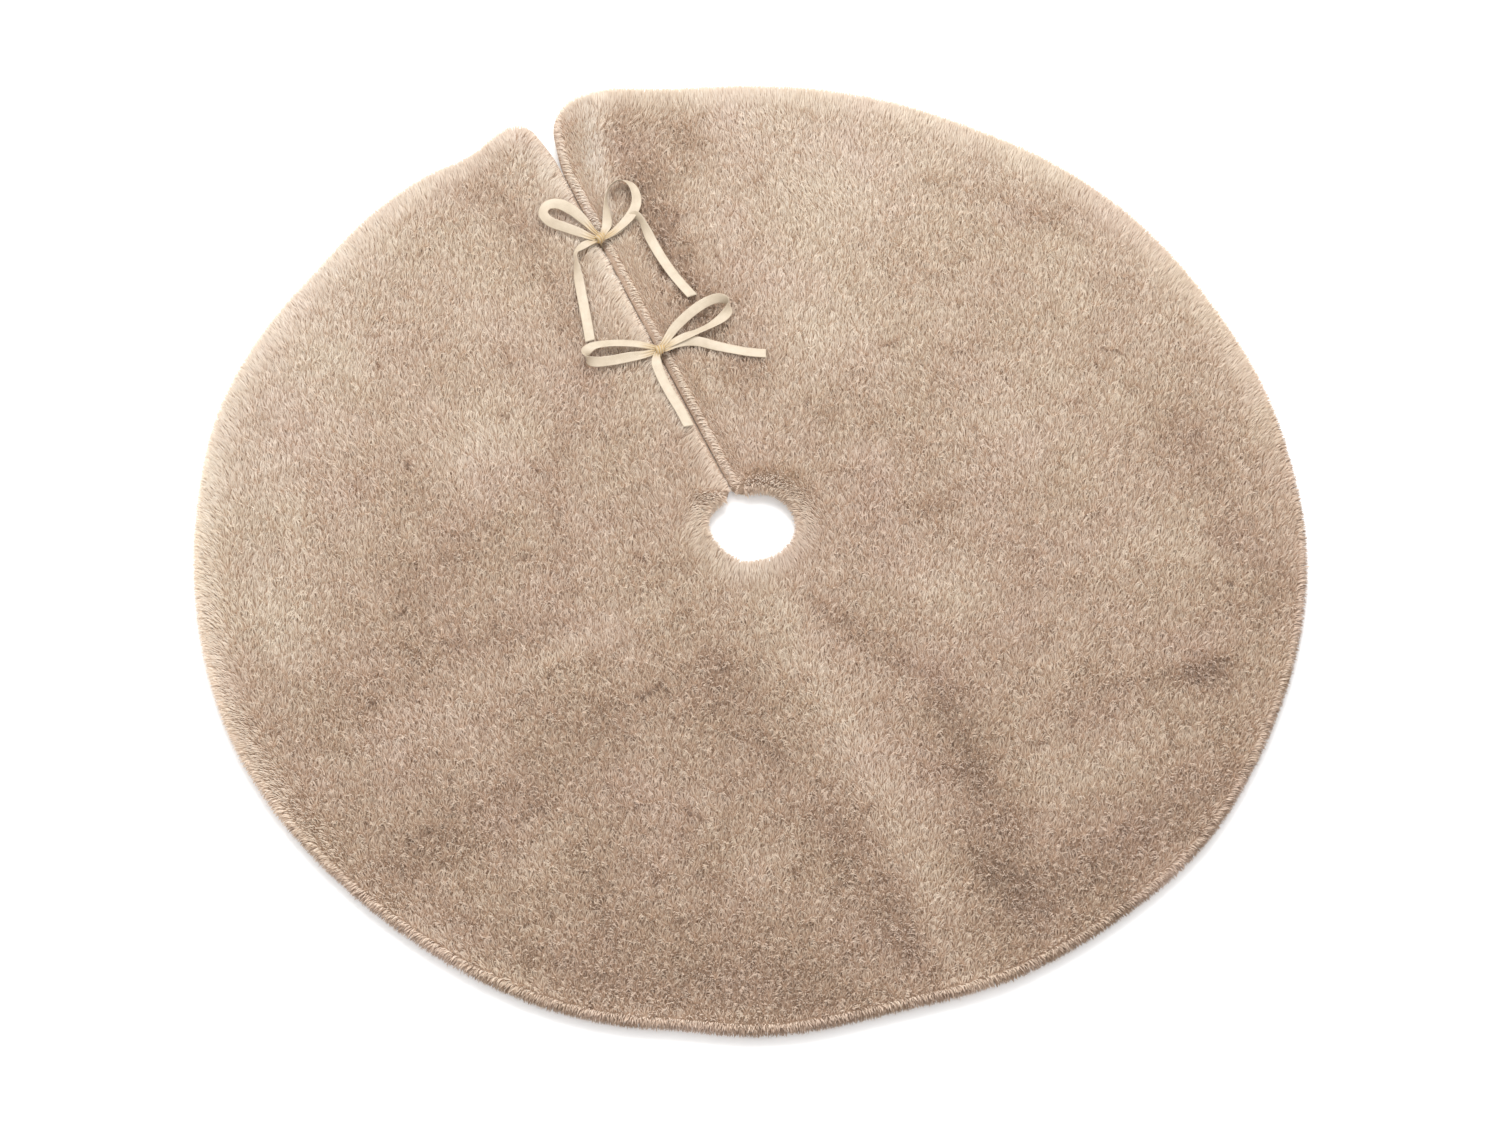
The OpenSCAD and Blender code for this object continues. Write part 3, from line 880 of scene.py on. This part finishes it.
# each ribbon from its knot: x, y, z, roll, width
RIBBONS = {
    "outer_left_loop": [(2, -1, 25, 110, 4), (-3, 12, 26, 110, 5.5), (-7, 27, 27, 112, 9),
                        (-13, 42, 28, 112, 11), (-22, 54, 28.5, 108, 11), (-33, 57, 29, 95, 10.5),
                        (-41, 50, 29, 75, 10), (-39, 38, 28.5, 62, 10), (-29, 27, 27.5, 62, 10),
                        (-17, 15, 26.5, 68, 9), (-7, 4, 25.5, 75, 6), (2, -1, 25, 80, 4)],
    "outer_right_loop": [(-2, -2, 25, 90, 4), (6, 5, 25.5, 88, 7), (13, 13, 26, 76, 10),
                         (19, 27, 27.5, 45, 10), (25, 42, 28.5, 10, 10), (34, 53, 29, -15, 10),
                         (46, 56, 29, -32, 10), (54, 47, 28.5, -55, 10), (54, 34, 27.5, -70, 10),
                         (48, 21, 27, -80, 10), (36, 11, 26.3, -88, 10), (22, 4, 25.7, -90, 8),
                         (10, 0, 25.3, -90, 5.5), (-2, -2, 25, -90, 4)],
    "inner_left_loop": [(2, 0, 25, 100, 4), (-9, 8, 26.5, 92, 6.5), (-20, 15, 28, 80, 9),
                        (-34, 22, 28.5, 74, 10), (-48, 27, 29, 74, 10), (-60, 29, 29, 86, 10),
                        (-69, 25, 29, 125, 10), (-71, 17, 29, 185, 10), (-64, 11, 28.5, 235, 10),
                        (-50, 7, 27.5, 248, 10), (-32, 4, 26.5, 250, 10), (-15, 1, 25.5, 255, 7.5),
                        (2, 0, 25, 260, 4)],
    "inner_right_loop": [(-2, 0, 25, 80, 4), (9, 7, 26, 75, 7), (24, 17, 27.5, 72, 9.5),
                         (44, 26, 28.5, 72, 10), (63, 31, 29, 66, 10), (77, 30, 29.5, 45, 10),
                         (84, 22, 29.5, 5, 10), (81, 14, 29, -45, 10), (71, 8, 28.5, -85, 10),
                         (57, 5, 27.5, -112, 10), (43, 4, 26.8, -118, 10), (27, 4, 26, -100, 9.5),
                         (10, 2, 25.2, -90, 6), (-2, 0, 25, -90, 4)],
    "outer_left_tail": [(2, 0, 24.5, 85, 4), (-6, 0, 24.2, 85, 6), (-17, 0, 23.8, 85, 9),
                        (-26, -4, 24.5, 60, 9), (-32, -12, 26.5, 20, 10), (-36, -24, 27, 35, 10),
                        (-40, -40, 25, 70, 10), (-45, -60, 24, 86, 10), (-51, -84, 23.7, 90, 10),
                        (-58, -110, 23.6, 92, 10)],
    "outer_right_tail": [(0, -1, 24.5, 90, 4), (10, 0, 24, 90, 6), (23, 4, 23.8, 90, 8.5),
                         (35, 11, 24, 75, 8.5), (43, 12, 25.5, 40, 9), (46, 5, 26.5, 25, 9.5),
                         (46, -9, 26, 45, 10), (46, -26, 24.4, 80, 10), (47, -48, 23.8, 90, 10),
                         (50, -74, 23.7, 92, 10), (56, -102, 23.6, 90, 10)],
    "inner_left_tail": [(2, 1, 24.8, 90, 4), (-4, -3, 25.1, 90, 6), (-9, -12, 24.7, 92, 10),
                        (-11, -28, 24, 92, 10), (-11, -50, 23.7, 88, 10), (-10, -72, 23.6, 90, 10),
                        (-10, -93, 23.6, 92, 10)],
    "inner_right_tail": [(-1, 0, 24.4, 90, 4), (6, -1, 24, 90, 6), (17, 1, 23.8, 85, 9),
                         (29, -1, 24.4, 70, 10), (40, -7, 24.6, 72, 10), (52, -17, 24, 80, 10),
                         (66, -28, 23.8, 88, 10), (80, -38, 23.7, 90, 10), (94, -46, 23.6, 90, 10)],
}


# how far each tail's cut end runs out of square, across its width
TAIL_SLANT = {("outer", "left"): -2, ("outer", "right"): 3, ("inner", "left"): 2, ("inner", "right"): -1}


def ribbon_pieces(material):
    """The loops and tails, each built as its own piece in place of its CAD part."""
    for name, stations in RIBBONS.items():
        bow, side, kind = name.split("_")
        slant = TAIL_SLANT[bow, side] if kind == "tail" else 0.0
        piece, length = ribbon_strip(name + "_ribbon", bow, stations, material, slant)
        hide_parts(name)
        centre = KNOT_CENTRE[bow]
        joint = next(j for j in frame["joints"] if j["child"] == name)
        pivot = np.array(joint["pos_m"]) * 1000
        heading = unit(np.cross(np.array(joint["axis"], float), [0, 0, 1.0]))
        heading = heading if (heading * (pivot - centre)).sum() > 0 else -heading
        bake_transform(piece)


def knot(bow, material):
    """Ribbon wrapped round the middle of a bow, folded lengthwise where it is pulled tight."""
    turns, columns = 56, 25
    half_width, half_length, half_height, rise, hollow = 4.8, 5.2, 4.6, 1.8, 0.72
    around = np.linspace(0, 2 * math.pi, turns, endpoint=False)[:, None]
    u = np.linspace(-1, 1, columns)[None, :]
    folds = np.cos(u * 3.2 * math.pi + 0.9 * np.sin(around) + 0.5 * np.sin(2 * around))
    radius = 1 - 0.38 * u ** 2 + 0.13 * folds * (1 - 0.5 * np.abs(u))
    x = half_width * u * (1 + 0.15 * np.cos(around + 0.4)) + 0.6 * np.sin(around + 0.7)
    outer = np.stack([x, half_length * radius * np.cos(around), half_height * radius * np.sin(around)], -1)
    inner = outer * np.array([1, hollow, hollow])
    ring = np.concatenate([outer, inner[:, ::-1]], 1)
    angle = math.radians(12 if bow == "outer" else -8)
    c, s = math.cos(angle), math.sin(angle)
    points = ring.reshape(-1, 3) @ np.array([[c, s, 0], [-s, c, 0], [0, 0, 1]])
    faces = grid_faces(turns, 2 * columns, closed_columns=True)
    last = (turns - 1) * 2 * columns
    j = np.arange(2 * columns)
    k = (j + 1) % (2 * columns)
    seam = np.stack([last + j, last + k, k, j], -1)
    # painted shade in the knot's folds
    shade = 0.62 - 0.38 * folds
    attributes = {"along": np.repeat(around.ravel() * 4, 2 * columns),
                  "across": np.tile(np.concatenate([u.ravel(), u.ravel()[::-1]]) * 4, turns),
                  "gather_and_shade": np.concatenate([shade, shade[:, ::-1]], 1).ravel()}
    centre = KNOT_CENTRE[bow] + np.array([0, 0, rise])
    piece = mesh_object(bow + "_knot_wrap", points + centre, [faces, seam], attributes)
    piece.data.materials.append(material)
    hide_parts(bow + "_knot")
    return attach(piece, "left_half")


def ribbon_roots(side, half, material):
    """The hidden ends of two ribbons, from their tacks up between the slit's lips to the knots."""
    blocks, start = [], 0
    for bow in ("inner", "outer"):
        y = KNOT_CENTRE[bow][1]
        stations = [(4.9, y, 1.0, 9.6), (3.2, y, 0.9, 9.6), (1.7, y, 1.3, 9.6), (1.05, y, 3, 9.6),
                    (0.9, y, 7, 9.6), (0.8, y, 12, 9), (0.7, y, 17, 6.5), (0.5, y, 21.5, 4)]
        rows = smooth_line(stations, 5)
        middle = rows[:, :3] * np.array([side, 1, 1])
        middle[:, 2] += lift(middle[:, 0], middle[:, 1])
        across = np.tile([0.0, side, 0.0], (len(rows), 1))
        block = band(middle, across, rows[:, 3], start=start)
        blocks.append(block)
        start += len(block[0])
    points = np.concatenate([block[0] for block in blocks])
    faces = [part for block in blocks for part in block[1]]
    attributes = {key: np.concatenate([block[2][key] for block in blocks]) for key in blocks[0][2]}
    piece = mesh_object(half + "_ribbon_ends", points, faces, attributes)
    piece.data.materials.append(material)
    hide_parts(half + "_ribbon_roots")
    return fold_with_skirt(piece)


def bar_tacks(side, half, material):
    """A close zigzag of thread over each ribbon's sewn end."""
    middle, half_stitch, pitch = 4.85, 0.5, 0.42
    starts, ends = [], []
    for bow in ("inner", "outer"):
        y = KNOT_CENTRE[bow][1] + np.arange(-4.6, 4.5, pitch)
        near = np.full_like(y, side * (middle - half_stitch))
        far = np.full_like(y, side * (middle + half_stitch))
        z = 1.3 + lift(side * middle, y)
        starts.append(np.stack([near, y, z], -1))
        ends.append(np.stack([far, y + pitch / 2, z], -1))
    thread_radius = 0.2
    piece = capsule_row(half + "_tack_stitches", np.concatenate(starts), np.concatenate(ends),
                        thread_radius, material)
    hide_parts(half + "_bar_tacks")
    return fold_with_skirt(piece)


def turning_gap(material):
    """Hand stitches across the edge where the skirt was turned right side out."""
    low, high = node_box("turning_gap_stitches")
    count, pitch, first = 12, 1.1, 196
    angle = np.arange(count) * pitch + first
    turn = np.radians(angle)
    edge = rim_radius(angle) - RIM_INSET
    lean = 0.003
    near, far = edge - 0.5, edge + 0.4
    inside = np.stack([near * np.cos(turn), near * np.sin(turn)], -1)
    outside = np.stack([far * np.cos(turn + lean), far * np.sin(turn + lean)], -1)
    rise = lift(inside[:, 0], inside[:, 1])
    starts = np.column_stack([inside, rise + low[2] + 0.1])
    ends = np.column_stack([outside, rise + high[2] + 0.4])
    thread_radius = 0.22
    piece = capsule_row("turning_gap_ladder", starts, ends, thread_radius, material)
    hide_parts("turning_gap_stitches")
    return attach(piece, "left_half")


def care_label(material):
    """A blank tape label, sewn flat under the lining."""
    low, high = node_box("care_label")
    x, y = np.meshgrid(np.linspace(low[0], high[0], 25), np.linspace(low[1], high[1], 16))
    floor = lift(x, y)
    curl = 0.05 * np.sin(x * 0.9) * np.sin(y * 0.5)
    piece = closed_slab("care_label_tape", x, y, floor + high[2] - 0.02, floor + 0.08 + curl)
    piece.data.materials.append(material)
    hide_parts("care_label")
    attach(piece, "left_half")


# -- scene --


def white_floor():
    """A white floor, which shines a little so that the skirt's shadow stays faint."""
    bpy.ops.mesh.primitive_plane_add(size=30)
    plane = bpy.context.object
    plane.name = "floor"
    m = Nodes("floor_white")
    plane.data.materials.append(m.finish(Base_Color=(0.95, 0.95, 0.95, 1), Roughness=0.9,
                                         Emission_Color=(1, 1, 1, 1), Emission_Strength=0.18))


def camera():
    """The photograph's view: 58.7 degrees down, the slit 24.4 degrees left of the view."""
    elevation, turn, distance = math.radians(58.715), math.radians(24.4), 3.699
    view = Vector((math.sin(turn) * math.cos(elevation), math.cos(turn) * math.cos(elevation),
                   -math.sin(elevation)))
    data = bpy.data.cameras.new("camera")
    data.lens, data.sensor_width = 92.5, 36
    eye = bpy.data.objects.new("camera", data)
    eye.location = Vector((-0.0141, -0.0299, 0)) - distance * view
    eye.rotation_euler = view.to_track_quat("-Z", "Y").to_euler()
    bpy.context.scene.collection.objects.link(eye)
    bpy.context.scene.camera = eye


def area_light(name, place, size, power):
    data = bpy.data.lights.new(name, "AREA")
    data.shape, data.size, data.energy = "DISK", size, power
    lamp = bpy.data.objects.new(name, data)
    lamp.location = place
    lamp.rotation_euler = (-Vector(place)).to_track_quat("-Z", "Y").to_euler()
    bpy.context.scene.collection.objects.link(lamp)


def lights():
    """An even white studio, with one soft lamp above the far side."""
    world = bpy.data.worlds.new("studio")
    world.use_nodes = True
    world.node_tree.nodes["Background"].inputs["Color"].default_value = (1, 1, 1, 1)
    world.node_tree.nodes["Background"].inputs["Strength"].default_value = 1.06
    bpy.context.scene.world = world
    area_light("key", (0.5, 1.5, 3.4), 2.2, 97)
    bpy.context.scene.view_settings.view_transform = "Standard"


camera()
lights()
white_floor()
coat = undercoat()
hairs = fur()
knit = weave_material("knitted_ground", srgb(186, 164, 142), srgb(158, 134, 112), threads=0.6, strength=0.4,
                      roughness=0.9, sheen=0.2)
ground = cloth_layer("ground_cloth", GROUND_LOW[2], GROUND_HIGH[2], knit,
                     ["left_fur_ground", "right_fur_ground"])
weave = weave_material("lining_weave", srgb(196, 181, 158), srgb(160, 144, 122), threads=0.9, strength=0.9,
                       roughness=0.6, sheen=0.1)
lining = cloth_layer("lining_cloth", LINING_LOW[2], LINING_HIGH[2], weave,
                     ["left_lining", "right_lining"])
thread = thread_material()
edge_seam(thread)
turning_gap(thread)
care_label(label_material())
satin = ribbon_material()
ribbon_pieces(satin)
for side, half in ((-1, "left"), (1, "right")):
    ribbon_roots(side, half, satin)
    bar_tacks(side, half, thread)
for bow in ("inner", "outer"):
    knot(bow, satin)
